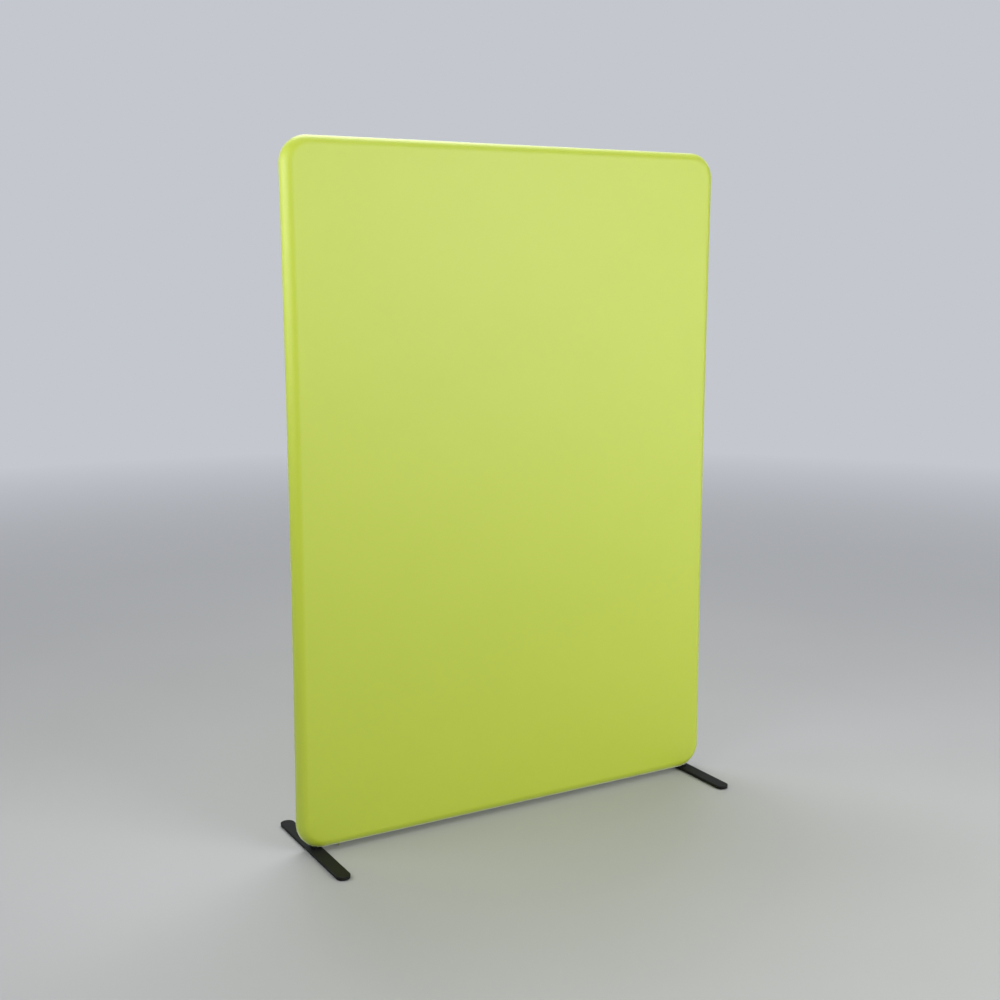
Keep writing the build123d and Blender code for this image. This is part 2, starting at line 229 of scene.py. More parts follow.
# %% [markdown]
# ## Light
# The lamps hang where the photo's own light seems to come from. front_window is large and stands
# in front to the right, so it lights the face at a slant, and the top the most. left_window is long
# and narrow and level with the top of the screen: the round rim mirrors it as one pale line.
# right_fill is weak and lifts the lower right corner. top_light hangs above the front, and
# back_fill, high behind, lights the back and draws the top edge.
# The sky that lights the screen and the sky the camera sees are two different things: camera,
# glossy and transmission rays see the backdrop, and every other ray sees a much weaker sky.

# %% Light the studio
def soft_lamp(name, place, aim, size, power):
    """A flat lamp at place that faces aim, its power in watts. It is soft because it is large."""
    lamp = bpy.data.objects.new(name, bpy.data.lights.new(name, "AREA"))
    bpy.context.scene.collection.objects.link(lamp)
    lamp.location = place
    lamp.rotation_euler = (Vector(aim) - Vector(place)).to_track_quat("-Z", "Y").to_euler()
    lamp.data.shape = "RECTANGLE"
    lamp.data.size, lamp.data.size_y = size
    lamp.data.energy = power
    lamp.visible_camera = False


soft_lamp("front_window", (1.5, -3.5, 1.9), (0, 0, 1.0), (2.4, 2.0), 93)
soft_lamp("left_window", (-2.0, -0.1, 1.75), (-0.6, 0, 1.6), (2.8, 0.9), 34)
soft_lamp("right_fill", (2.5, -1.5, 0.7), (0.4, 0, 0.5), (1.2, 1.0), 9)
soft_lamp("top_light", (-0.2, -1.1, 4.0), (0, -0.1, 1.4), (2.6, 1.2), 12)
soft_lamp("back_fill", (0.6, 1.4, 4.3), (0, 0, 0.9), (2.6, 1.2), 92)

world = bpy.data.worlds.new("studio")
bpy.context.scene.world = world
world.use_nodes = True
tree = world.node_tree
rays = put(tree, "ShaderNodeLightPath").outputs
seen = sums(tree, "MAXIMUM", rays["Is Camera Ray"], rays["Is Glossy Ray"])
seen = sums(tree, "MAXIMUM", seen, rays["Is Transmission Ray"])
sky_level = 0.3
light = tree.nodes["Background"]
light.inputs["Color"].default_value = paint(244, 247, 252)
light.inputs["Strength"].default_value = sky_level
backdrop = put(tree, "ShaderNodeBackground", {"Color": backdrop_colour, "Strength": 1.0})
mixed = put(tree, "ShaderNodeMixShader", {0: seen, 1: light.outputs[0], 2: backdrop.outputs[0]})
tree.links.new(mixed.outputs[0], tree.nodes["World Output"].inputs["Surface"])
bpy.context.scene.view_settings.view_transform = "Standard"

# %% [markdown]
# ## From a grid of numbers to a skin
# All the soft pieces share one step: a grid of points becomes a mesh whose quads join each point
# with its neighbours. Every row is a ring, so its last point meets its first one, and for a tube
# bent into a ring the last row meets the first one too. Where a row shrinks to a line or a point,
# its doubles are merged, so that no hole is left.

# %% Make the skin helper
def skin(name, grid, uv=None, wrap_rows=False, inside=None, opening=None):
    """A mesh object from points P(i, j): quads P(i,j) P(i,j+1) P(i+1,j+1) P(i+1,j).
    The faces are turned outwards: the sum of (centre - inside) . area is made positive."""
    rows, columns = grid.shape[:2]
    number = np.arange(rows * columns).reshape(rows, columns)
    number = np.hstack([number, number[:, :1]])
    if wrap_rows:
        number = np.vstack([number, number[:1]])
    where = number if uv is None else np.arange(uv.size // 2).reshape(uv.shape[:2])
    quads, spots = (
        np.stack([n[:-1, :-1], n[:-1, 1:], n[1:, 1:], n[1:, :-1]], -1).reshape(-1, 4)
        for n in (number, where)
    )
    points = grid.reshape(-1, 3)
    if opening:
        points, stay = opened(points, quads, opening)
        quads, spots = quads[stay], spots[stay]
        used, quads = np.unique(quads, return_inverse=True)
        points, quads = points[used], quads.reshape(-1, 4)
    corner = points[quads]
    area = np.cross(corner[:, 2] - corner[:, 0], corner[:, 3] - corner[:, 1])
    middle = points.mean(0) if inside is None else np.array(inside)
    if ((corner.mean(1) - middle) * area).sum() < 0:
        quads, spots = quads[:, ::-1], spots[:, ::-1]
    mesh = bpy.data.meshes.new(name)
    mesh.vertices.add(len(points))
    mesh.vertices.foreach_set("co", points.astype(np.float32).ravel())
    mesh.loops.add(quads.size)
    mesh.loops.foreach_set("vertex_index", quads.astype(np.int32).ravel())
    mesh.polygons.add(len(quads))
    mesh.polygons.foreach_set("loop_start", np.arange(0, quads.size, 4, dtype=np.int32))
    mesh.update(calc_edges=True)
    if uv is not None:
        flat = uv.reshape(-1, 2)[spots.ravel()]
        mesh.uv_layers.new(name="cloth").data.foreach_set("uv", flat.astype(np.float32).ravel())
    work = bmesh.new()
    work.from_mesh(mesh)
    bmesh.ops.remove_doubles(work, verts=work.verts, dist=1e-7)
    work.to_mesh(mesh)
    work.free()
    mesh.shade_smooth()
    made = bpy.data.objects.new(name, mesh)
    bpy.context.scene.collection.objects.link(made)
    return made


ring_count, ring_points = 3, 4
print(ring_count, "rings of", ring_points, "points have", (ring_count - 1) * ring_points, "quads")

# %% [markdown]
# ## Walking round the outline
# The panel's outline is a rectangle with round corners. Every point on it is a corner centre, or a
# place between two of them, plus the radius in the direction the edge faces. Written that way the
# same walk gives every smaller outline too, down to the line in the middle where the rings close.

# %% Walk round a rounded rectangle
def walk(pitch, corner_steps, width, height, marks=()):
    """Numbers a, b, nx, nz for each point of the outline, counter-clockwise from bottom left.
    A point at inset d is P = (a (W - d - r), b (H - d - r)) + r (nx, nz)."""
    across, upright = (
        np.linspace(-1, 1, max(2, round(2 * side / pitch)) + 1) for side in (width, height)
    )
    below = np.unique(np.concatenate([across, marks]))
    turn = np.linspace(0, np.pi / 2, corner_steps + 1)[1:-1]
    parts = []
    for k, line in enumerate((below, upright, across, upright)):
        facing = (k - 1) * np.pi / 2
        out = np.round([np.cos(facing), np.sin(facing)])
        along = np.array([-out[1], out[0]])
        flat = out[:, None] + along[:, None] * line
        parts.append(np.vstack([flat, np.tile(out[:, None], line.size)]))
        angle = facing + turn
        corner = np.tile((out + along)[:, None], turn.size)
        parts.append(np.vstack([corner, np.cos(angle), np.sin(angle)]))
    return np.hstack(parts)


def drawn_in(path, inset, width, height, radius):
    """The outline at each inset, as x and z. The corner radius is R - d near the rim, and shrinks
    evenly from there to 0, where the rings close on the middle line."""
    a, b, nx, nz = path
    close, near = min(width, height), 0.6 * radius
    r = np.where(inset < near, radius - inset, (radius - near) * (close - inset) / (close - near))
    return a * (width - inset - r) + r * nx, b * (height - inset - r) + r * nz


straight = half_width - corner_radius
upright_straight = half_height - corner_radius
mark_reach, mark_count = 8, 13  # extra points, 8 mm to either side of each end of the zip's opening
mouth_marks = np.linspace(-mark_reach, mark_reach, mark_count) * mm
mouth_marks = np.concatenate([mouth_marks - mouth_end, mouth_marks + mouth_end]) / straight
rim_pitch, rim_corner_steps = 5.3 * mm, 32
soft_pitch, soft_corner_steps = 12 * mm, 14
rim_walk = walk(rim_pitch, rim_corner_steps, straight, upright_straight, mouth_marks)
soft_walk = walk(soft_pitch, soft_corner_steps, straight, upright_straight, mouth_marks)
print(rim_walk.shape[1], "points round the cover,", soft_walk.shape[1], "round the padding")

# %% [markdown]
# ## The waist of the sleeve
# Stretch cloth pulls hardest across the long sides, so it squeezes the soft edge in a few
# millimetres halfway up. That is a smooth sum over the whole grid, and the padding gets the same
# one as the cloth, so that the layers stay in order.

# %% Draw in the waist
waist_depth = 4 * mm


def waisted(x, z, give):
    """x pulled in by g B w(x) (1 - t^2): t runs from -1 to 1 up the straight part of the side,
    and w is a smooth step that starts half way out from the middle."""
    t = np.clip((z - panel_middle) / upright_straight, -1, 1)
    s = np.clip((np.abs(x) / half_width - 0.5) / 0.4, 0, 1)
    return x - np.sign(x) * give * waist_depth * (1 - t**2) * s * s * (3 - 2 * s)


drawn = half_width - waisted(half_width, panel_middle, 1.0)
print("waist", round(1000 * float(drawn), 1), "mm deep")

# %% [markdown]
# ## How full the faces are
# The padding presses on the cloth from inside, and what cloth does about that is a job for
# Blender's Cloth. The trial sheet below has the form of one face, from the seam over the round rim
# to the middle. Its lines are closer at the edges, where the cloth bends most.

# %% Set out the trial sheet
trial_cells = (60, 84)
crowding = 0.6  # how much closer the lines lie at the edges: 0 is evenly, 1 is as close as can be
trial_x, trial_z = (
    half * (k + crowding * np.sin(np.pi * k) / np.pi)
    for half, k in ((half_width, np.linspace(-1, 1, trial_cells[0] + 1)),
                    (half_height, np.linspace(-1, 1, trial_cells[1] + 1)))
)


def trial_form():
    """Points with x and z on the lines, drawn in to the round corners: inset d = R - |P - C| there
    and the distance to the nearest side elsewhere. Depth: c + sqrt(R^2 - (R - d)^2)."""
    x, z = np.meshgrid(trial_x, trial_z, indexing="ij")
    past = np.stack([np.abs(x) - half_width, np.abs(z) - half_height]) + corner_radius
    past = np.maximum(past, 0)
    reach = np.hypot(*past)
    cut = 1 - corner_radius / np.maximum(reach, corner_radius)
    x, z = x - np.sign(x) * past[0] * cut, z - np.sign(z) * past[1] * cut
    beside = np.minimum(half_width - np.abs(x), half_height - np.abs(z))
    inset = np.where(past.min(0) > 0, corner_radius - np.minimum(reach, corner_radius), beside)
    down = rim_radius - np.minimum(inset, rim_radius)
    return np.stack([x, -rim_flat - np.sqrt(rim_radius**2 - down**2), z + panel_middle], -1), inset


# %% [markdown]
# ## The trial
# The sheet is held at the seam, tied softly to the padding over the face, and blown out by a little
# pressure for twenty frames. What is kept is a table: how far the cloth came out at each place of
# the face. Cloth and wadding on both sides read it, so they stay in order too.

# %% Blow the trial sheet out
frames = 20
pressure = 4.0
tie = 0.46  # how firmly the face is held to the padding, where 1 is pinned
sheet_mass = 0.3
solver_steps = 5
longest_move = 2.5 * mm


def blown(form, inset):
    """How far each point comes out along -Y in the trial, cut to 0 below and 2.5 mm above."""
    trial = sheet("trial", form)
    held = trial.vertex_groups.new(name="held")
    held.add(np.flatnonzero(inset.ravel() < 0.5 * mm).tolist(), 1.0, "REPLACE")
    held.add(np.flatnonzero(inset.ravel() > rim_radius).tolist(), tie, "REPLACE")
    run = trial.modifiers.new("press", "CLOTH").settings
    run.quality = solver_steps
    run.mass = sheet_mass
    run.use_pressure = True
    run.uniform_pressure_force = pressure
    run.vertex_group_mass = "held"
    run.effector_weights.gravity = 0
    for number in range(1, frames + 1):
        bpy.context.scene.frame_set(number)
    settled = trial.evaluated_get(bpy.context.evaluated_depsgraph_get()).data
    points = np.empty(form.size, np.float32)
    settled.vertices.foreach_get("co", points)
    bpy.data.objects.remove(trial)
    bpy.context.scene.frame_set(1)
    return np.clip(form[..., 1] - points.reshape(form.shape)[..., 1], 0, longest_move)


trial_points, trial_inset = trial_form()
fullness = blown(trial_points, trial_inset)
print("the cloth came out by up to", round(float(fullness.max()) * 1000, 2), "mm")

# %% [markdown]
# ## Reading the table
# The cover's own points lie between those of the trial sheet, so the height at any place is the
# mean of the four nearest values, each weighed by how near it is. A few slow waves on top keep the
# front and the back from being copies of each other.

# %% Read the table anywhere on the face
def crown(x, z, phase=0.0):
    """Height F at (x, z): the table at the four places round it, weighed by (1 - s)(1 - t),
    s (1 - t), (1 - s) t and s t, plus slow waves that grow with it."""
    place = [
        np.interp(np.clip(v, lines[0], lines[-1]), lines, np.arange(lines.size))
        for v, lines in ((x, trial_x), (z - panel_middle, trial_z))
    ]
    i, j = (np.minimum(p.astype(int), size - 1) for p, size in zip(place, trial_cells))
    s, t = place[0] - i, place[1] - j
    near = fullness[i, j] * (1 - t) + fullness[i, j + 1] * t
    far = fullness[i + 1, j] * (1 - t) + fullness[i + 1, j + 1] * t
    table = near * (1 - s) + far * s
    slow = np.sin(9 * x + 4 * z + phase) + np.sin(15 * z - 7 * x + 2 * phase)
    quick = np.sin(31 * x + 11 * z + 3 * phase) * np.sin(23 * z - 13 * x + phase)
    return table * (1 + 0.08 * slow + 0.06 * quick)


middle_height = crown(np.array([0.0]), np.array([panel_middle]))[0]
print("crown in the middle", round(float(middle_height) * 1000, 2), "mm")

# %% [markdown]
# ## Openings for the feet
# Four steel spacers come out of the bottom of the panel and carry the feet, so the cloth has four
# round holes there. A grid has no holes, but quads near a spacer's axis can be left out, and the
# points round the gap are then moved onto a circle, so that the edge isn't stepped.

# %% Find the spacers and open the cloth round them
spacer_radius = 5.5 * mm
underside_reach = rim_radius  # only quads this near the panel's bottom are left out
spacer_place = np.array(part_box("foot_spacers")[1])[:2] - spacer_radius
spacers = np.array([[-1, -1], [-1, 1], [1, -1], [1, 1]]) * spacer_place


def rim_level(x, y):
    """Height of the cover's underside: z = b + R - sqrt((R - n)^2 - k^2), with n the rim's inset at
    depth |y| and k how far x lies past the straight edge."""
    n = rim_radius - np.sqrt(rim_radius**2 - np.maximum(np.abs(y) - rim_flat, 0) ** 2)
    k = np.maximum(np.abs(x) - straight, 0)
    return panel_bottom + corner_radius - np.sqrt((corner_radius - n) ** 2 - k**2)


def opened(points, quads, radius):
    """Drops each quad whose middle is nearer than the radius to a spacer's axis, and pushes the
    points of the edge to P = S + r (P - S) / |P - S|, at the height of the rim."""
    middle = points[quads].mean(1)
    reach = np.linalg.norm(middle[:, None, :2] - spacers, axis=-1).min(1)
    stay = (reach > radius) | (middle[:, 2] > panel_bottom + underside_reach)
    edge = np.intersect1d(quads[stay], quads[~stay])
    offset = points[edge, None, :2] - spacers
    nearest = np.linalg.norm(offset, axis=-1).argmin(1)
    offset = offset[np.arange(edge.size), nearest]
    offset *= radius / np.linalg.norm(offset, axis=-1, keepdims=True)
    x, y = (spacers[nearest] + offset).T
    points = points.copy()
    points[edge] = np.stack([x, y, rim_level(x, y)], -1)
    return points, stay


print("spacers at", spacers.round(4).tolist())

# %% [markdown]
# ## The seam and its puckers
# The sleeve is sewn from two halves that meet in the middle of the rim. Over the zip the seam opens
# into a mouth with a hem on each side. How far the cloth stays from the middle is one number for
# each point of the walk, with a smooth step at both ends of the mouth. Sewing also gathers cloth a
# little, the most round a corner, so the seam gets tiny puckers that fade out within millimetres.

# %% Follow the seam
pucker_pitch = 23 * mm
pucker_fade = 6 * mm
pucker_height, corner_pucker = 0.13 * mm, 0.22 * mm  # along the sides, and what a corner adds


def half_gap(path, closed, mouth, ease):
    """g along the walk: closed at the seam, mouth over the zip, with a smooth step at its ends."""
    a, nz = path[0], path[3]
    t = np.clip((mouth_end - np.abs(a * straight)) / ease + 0.5, 0, 1)
    return closed + (mouth - closed) * np.where(nz == -1, t * t * (3 - 2 * t), 0)


def length_round(path):
    """Distance along the outline at each point of the walk, in metres."""
    x, z = drawn_in(path, 0.0, half_width, half_height, corner_radius)
    return np.concatenate([[0], np.cumsum(np.hypot(np.diff(x), np.diff(z)))])


def gathers(path, rows):
    """Tiny puckers beside the seam: A exp(-s / L) cos(p), stronger where the cloth turns a corner.
    The phase p grows along the outline at an uneven pace, so that no two puckers are alike."""
    nx, nz = path[2], path[3]
    along = length_round(path)
    corner = 4 * (nx * nz) ** 2
    uneven = 1.7 * np.sin(along * 19) + 2.3 * np.sin(along * 7)
    wave = np.cos(2 * np.pi * along / pucker_pitch + uneven)
    wave = wave * (0.6 + 0.4 * np.sin(along * 31))
    return (pucker_height + corner_pucker * corner) * wave * np.exp(-rows / pucker_fade)


print("the seam is", round(float(length_round(rim_walk)[-1]), 3), "m long")

# %% [markdown]
# ## The cover
# Followed from the inside, one half of the sleeve starts as the seam allowance, folds out over a
# small radius, rounds the rim and runs in over the face. At the zip's mouth the same cloth folds
# back 6 mm further out, as a hem. So one profile does for all of it, and the half gap g is the one
# number in it that changes along the walk.

# %% Sew the two halves
fold = 1.4 * mm
opening_radius = 6.6 * mm
seam_gap = 0.05 * mm
hem_ease = 5 * mm  # the length over which the seam opens into the hem
face_insets = [26, 30, 36, 44, 55, 70, 90, 115, 145, 180, 220, 265, 315, 370, 430, 490, 548]
face_insets = np.append(np.array(face_insets) * mm, half_width)


def cover_half(name, side, phase):
    """Allowance: inset from 8.2 mm to n + f at depth g. Fold: inset n + f (1 - sin q), depth
    g + f (1 - cos q). Rim: inset R (1 - cos p), depth c + R sin p. Face: inset d, and as depth
    H plus the crown. The cloth's own map is the profile laid flat, in metres."""
    g = half_gap(rim_walk, seam_gap, mouth_half, hem_ease)[None, :]
    first = np.arcsin(np.clip((g + fold - rim_flat) / rim_radius, 0, 1))
    n = rim_radius * (1 - np.cos(first))
    t = np.linspace(0, 1, 4)[:-1, None]
    q = np.linspace(0, np.pi / 2, 6)[:, None]
    p = first + (np.pi / 2 - first) * np.linspace(0, 1, 18)[1:, None]
    inset = np.vstack([
        allowance + (n + fold - allowance) * t,
        n + fold * (1 - np.sin(q)),
        rim_radius * (1 - np.cos(p)),
        face_insets[:, None] * np.ones_like(g),
    ])
    depth = np.vstack([
        g * np.ones_like(t),
        g + fold * (1 - np.cos(q)),
        rim_flat + rim_radius * np.sin(p),
        np.full((face_insets.size, g.size), half_depth),
    ])
    give = np.vstack([0.6 + 0.4 * t, np.ones((len(inset) - len(t), 1))])
    step = np.hypot(np.diff(inset, axis=0), np.diff(depth, axis=0))
    from_edge = np.vstack([np.zeros_like(g), np.cumsum(step, axis=0)])
    face_row = len(t) + len(q) + len(p) - 1
    laid_flat = inset[face_row] + from_edge - from_edge[face_row]
    from_seam = np.maximum(from_edge - from_edge[len(t)], 0)
    inset = inset + gathers(rim_walk, from_seam)
    x, z = drawn_in(rim_walk, inset, half_width, half_height, corner_radius)
    z = z + panel_middle
    x = waisted(x, z, give)
    outer = np.arange(len(inset))[:, None] >= len(t) + len(q)
    y = side * (depth + outer * crown(x, z, phase))
    u, v = drawn_in(rim_walk, laid_flat, half_width, half_height, corner_radius)
    u, v = (np.hstack([w, w[:, :1]]) for w in (u, v))
    grid, uv = np.stack([x, y, z], -1), np.stack([u, v], -1)
    made = skin(name, grid, uv, inside=(0, 0, panel_middle), opening=opening_radius)
    wall = made.modifiers.new("cloth", "SOLIDIFY")
    wall.thickness = cloth
    wall.offset = -1
    return made


cover_front = cover_half("cover_front_cloth", -1, 0.0)
cover_back = cover_half("cover_back_cloth", 1, 2.1)
print("cover faces:", len(cover_front.data.polygons), "and", len(cover_back.data.polygons))

# %% [markdown]
# ## The cloth's finish
# Seen close, the sleeve is a fine plain weave. Threads pass over and under by turns, so the height
# is a row of ridges one way on even squares and the other way on odd ones. The low places between
# the threads are painted darker, which is painted shade. Sheen makes the pale line along the
# silhouette, where the eye meets the short fibres side on.

# %% Weave the cover fabric
thread_pitch, thread_height = 0.9 * mm, 0.12 * mm
shade_waves, shade_length = 1100, 26  # waves to a metre across and along a thread


def bumped(tree, height, distance, strength=1.0):
    """A surface normal that leans as if height, times distance in metres, stood on the surface."""
    sockets = {"Height": height, "Distance": distance, "Strength": strength}
    return put(tree, "ShaderNodeBump", sockets).outputs[0]


def woven(tree, place, pitch):
    """Height of a plain weave: |sin a| or |sin b| by the sign of sin a sin b, a = pi u / pitch."""
    axes = put(tree, "ShaderNodeSeparateXYZ", {0: place}).outputs
    a, b = (
        sums(tree, "SINE", sums(tree, "MULTIPLY", axes[k], math.pi / pitch)) for k in (0, 1)
    )
    over = sums(tree, "GREATER_THAN", sums(tree, "MULTIPLY", a, b), 0.0)
    ridge_a, ridge_b = sums(tree, "ABSOLUTE", a), sums(tree, "ABSOLUTE", b)
    first = sums(tree, "MULTIPLY", ridge_a, over)
    second = sums(tree, "MULTIPLY", ridge_b, sums(tree, "SUBTRACT", 1.0, over))
    return sums(tree, "ADD", first, second)


def streaks(tree, place, across, along):
    """Noise drawn out along one thread direction, so that each thread keeps its own shade."""
    sockets = {"Vector": place, "Scale": (across, along, 1)}
    return noise(tree, put(tree, "ShaderNodeMapping", sockets).outputs[0], 1.0, 1)


fabric, tree, shader = finish(
    "lime_cover_fabric", Roughness=0.48, Specular_IOR_Level=1.0, Sheen_Weight=1.0,
    Sheen_Roughness=0.3, Sheen_Tint=(0.97, 1.0, 0.93, 1.0),
)
place = put(tree, "ShaderNodeUVMap", uv_map="cloth").outputs[0]
weave = woven(tree, place, thread_pitch)
one_way = streaks(tree, place, shade_waves, shade_length)
threads = sums(tree, "ADD", one_way, streaks(tree, place, shade_length, shade_waves))
clouds = sums(tree, "MULTIPLY", noise(tree, place, 5, 4, 0.6), 0.3)
shade = sums(tree, "ADD", sums(tree, "MULTIPLY", threads, 0.35), clouds)
top_of_thread = between(tree, shade, paint(178, 196, 24), paint(191, 207, 38))
# painted shade: the low places of the weave, between the threads, are painted darker
shade_between_threads = paint(150, 168, 24)
colour = between(tree, stretched(tree, weave, 0, 1, 0.6, 1), shade_between_threads, top_of_thread)
height = sums(tree, "ADD", weave, sums(tree, "MULTIPLY", threads, 0.5))
wire(tree, shader, colour=colour, normal=bumped(tree, height, thread_height, 0.5))
print("cover fabric:", len(fabric.node_tree.nodes), "nodes")

# %% [markdown]
# ## Dressing a piece
# A new mesh is only a shape. It still has to ride on a body of the frame, so that it moves with the
# joints, to hide the CAD nodes it stands for, and to get its finish.

# %% Dress the two halves of the cover
def dress(piece, slot, material, *nodes):
    """Rides a piece on the root body, hides the CAD nodes it stands for and gives it a finish. The
    slot is not used.
    """
    piece.data.materials.clear()
    piece.data.materials.append(material)
    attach(piece, "root")
    if nodes:
        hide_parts(*nodes)


for piece, node in ((cover_front, "cover_front"), (cover_back, "cover_back")):
    dress(piece, "cover_fabric", fabric, node)
print("dressed:", cover_front.name, "and", cover_back.name)

# %% [markdown]
# ## Wadding under the faces
# A sheet of polyester wadding lies between the frame and the cloth on each side. It is flat where
# it rests on the timber, thin and rounded at the rim, and full in the middle. The grid starts in
# the middle of the flat back, runs out round the edge and comes home over the front.

# %% Lay the wadding sheets
padding_radius = rim_radius - padding_gap
rest_gap = 0.1 * mm
rim_reach = np.arcsin((frame_half_depth - rim_flat) / padding_radius)
edge_inset = rim_radius - padding_radius * np.cos(rim_reach)
padding_insets = np.array([26, 31, 38, 48, 62, 80, 105, 140, 185, 240, 310, 390, 480]) * mm
padding_insets = np.append(padding_insets, half_width)


def outline_grid(path, inset, depth, give, phase=0.0, soft=0.0):
    """Points of a profile carried round the panel: the outline at each inset, waisted by give,
    at a depth plus soft times the crown."""
    x, z = drawn_in(path, inset, half_width, half_height, corner_radius)
    z = z + panel_middle
    x = waisted(x, z, give)
    return np.stack([x, depth + soft * crown(x, z, phase), z], -1)


def wadding_sheet(name, side, phase):
    """Back: depth F from the middle out to the edge. Rim: inset R - r cos p, depth c + r sin p.
    Front: depth H - 1.5 mm plus the crown."""
    back = np.append(padding_insets[::-1], [20 * mm, 12 * mm, edge_inset + 1.5 * mm])[:, None]
    p = np.linspace(rim_reach + 0.03, np.pi / 2, 12)[:, None]
    rim_inset = rim_radius - padding_radius * np.cos(p)
    front = padding_insets[:, None]
    inset = np.vstack([back, [[edge_inset + 0.3 * mm]], rim_inset, front])
    depth = np.vstack([
        np.full(back.shape, frame_half_depth + rest_gap),
        [[frame_half_depth + 2 * rest_gap]],
        rim_flat + padding_radius * np.sin(p),
        np.full(front.shape, half_depth - padding_gap),
    ])
    soft = (np.arange(len(inset)) > len(back))[:, None]
    grid = outline_grid(soft_walk, inset, depth, 1.0, phase, soft)
    grid[..., 1] *= side
    return skin(name, grid)


wadding_front = wadding_sheet("wadding_front", -1, 0.0)
wadding_back = wadding_sheet("wadding_back", 1, 2.1)
print("wadding is", round((padding_radius + rim_flat - frame_half_depth) * 1000, 1), "mm thick")

# %% [markdown]
# ## The foam strip round the rim
# A strip of foam runs right round the frame and gives the rim its round form. It has a groove for
# the seam's allowance, which opens into a pocket over the zip. Its section is a closed loop, so
# carried round the outline it makes a ring with no ends.

# %% Run the foam strip round the frame
groove_floor = 8.5 * mm
strip_back = 11.7 * mm
groove_half, pocket_half = 1.5 * mm, 7.5 * mm  # half the width of the groove and of the pocket
pocket_ease = 8 * mm


def foam_strip(name):
    """Half a section: groove floor, wall at depth g, rim arc inset R - r cos p and depth
    c + r sin p, flank at depth F, back at 11.7 mm. The other half is its mirror image."""
    g = half_gap(soft_walk, groove_half, pocket_half, pocket_ease)[None, :]
    flat = np.ones_like(g)
    lip = g + 0.9 * mm
    first = np.arcsin(np.clip((lip - rim_flat) / padding_radius, 0, 1))
    mouth_inset = rim_radius - padding_radius * np.cos(first)
    p = first + (rim_reach - 0.03 - first) * np.linspace(0, 1, 11)[:, None]
    arc_inset = rim_radius - padding_radius * np.cos(p)
    arc_depth = rim_flat + padding_radius * np.sin(p)
    rows = [
        (groove_floor * flat, 0 * flat, 0.6),
        (groove_floor * flat, g - 0.6 * mm, 0.6),
        (groove_floor * flat - 0.5 * mm, g, 0.6),
        (0.5 * (groove_floor + mouth_inset), g, 0.8),
        (mouth_inset + 1.1 * mm, g, 1.0),
        (mouth_inset + 0.3 * mm, g + 0.3 * mm, 1.0),
        *((arc_inset[k], arc_depth[k], 1.0) for k in range(len(p))),
        (edge_inset * flat + 0.3 * mm, (frame_half_depth - rest_gap) * flat, 0.95),
        (0.5 * (edge_inset + strip_back) * flat, frame_half_depth * flat, 0.5),
        (strip_back * flat - 0.6 * mm, frame_half_depth * flat, 0.06),
        (strip_back * flat, (frame_half_depth - 0.6 * mm) * flat, 0.0),
        (strip_back * flat, 0.5 * frame_half_depth * flat, 0.0),
        (strip_back * flat, 0 * flat, 0.0),
    ]
    inset = np.vstack([row[0] for row in rows])
    depth = np.vstack([row[1] for row in rows])
    give = np.array([row[2] for row in rows])[:, None]
    inset, give = (np.vstack([w, w[-2:0:-1]]) for w in (inset, give))
    depth = np.vstack([depth, -depth[-2:0:-1]])
    return skin(name, outline_grid(soft_walk, inset, depth, give), wrap_rows=True)


strip = foam_strip("foam_edge_strip")
print("foam strip:", len(strip.data.polygons), "faces")

# %% [markdown]
# ## Felt boards
# A board of needled felt fills each opening of the frame and soaks up the sound. It is cut square,
# but a felt edge is never sharp, so the section has small rounded edges and the faces are left
# slightly uneven.

# %% Cut the felt boards
def felt_board(name, node, phase):
    """Front face, rounded edge e (1 - cos q, 1 - sin q), back face: rings that close on a line."""
    low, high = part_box(node)
    width, height, deep = (high.x - low.x) / 2, (high.z - low.z) / 2, (high.y - low.y) / 2
    round_over, corner = 2.5 * mm, 5 * mm
    path = walk(25 * mm, 5, width - corner, height - corner)
    close = min(width, height)
    face = close * np.array([1, 0.8, 0.6, 0.42, 0.28, 0.17, 0.09, 0.045, 0.02])[:, None]
    q = np.linspace(0, np.pi / 2, 6)[:, None]
    half_inset = np.vstack([face, round_over * (1 - np.sin(q))])
    sunk = np.vstack([0 * face, round_over * (1 - np.cos(q))])
    inset = np.vstack([half_inset, half_inset[::-1]])
    y = np.vstack([sunk - deep, deep - sunk[::-1]])
    x, z = drawn_in(path, inset, width, height, corner)
    dent = 0.12 * mm * (1 + np.sin(37 * x + 29 * z + phase) * np.sin(41 * z - 23 * x))
    y = y - np.sign(y) * dent
    return skin(name, np.stack([x, y, z + (low.z + high.z) / 2], -1))


boards = [
    felt_board("felt_board_upper", "absorber_upper", 0),
    felt_board("felt_board_lower", "absorber_lower", 1.3),
]
print("felt boards:", [tuple(round(v, 3) for v in b.dimensions) for b in boards])

# %% [markdown]
# ## The zip
# The sleeve has to open somewhere to go over the frame, and the underside is where it doesn't
# show. A zip is two woven tapes with a coil of plastic thread wound along each edge. The tape runs
# out from the coil, bends, and climbs the inside of the hem: a bent section carried along a line.

# %% Weave the zip tapes
coil_low, coil_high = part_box("zip_coil_front")
zip_level = (coil_low.z + coil_high.z) / 2
tape_edge = 1.7 * mm  # how near to the middle the tapes come
tape_points = 340
ripple_height, ripple_pace = 0.05 * mm, 900  # of slight waves in the tape, in radians to a metre


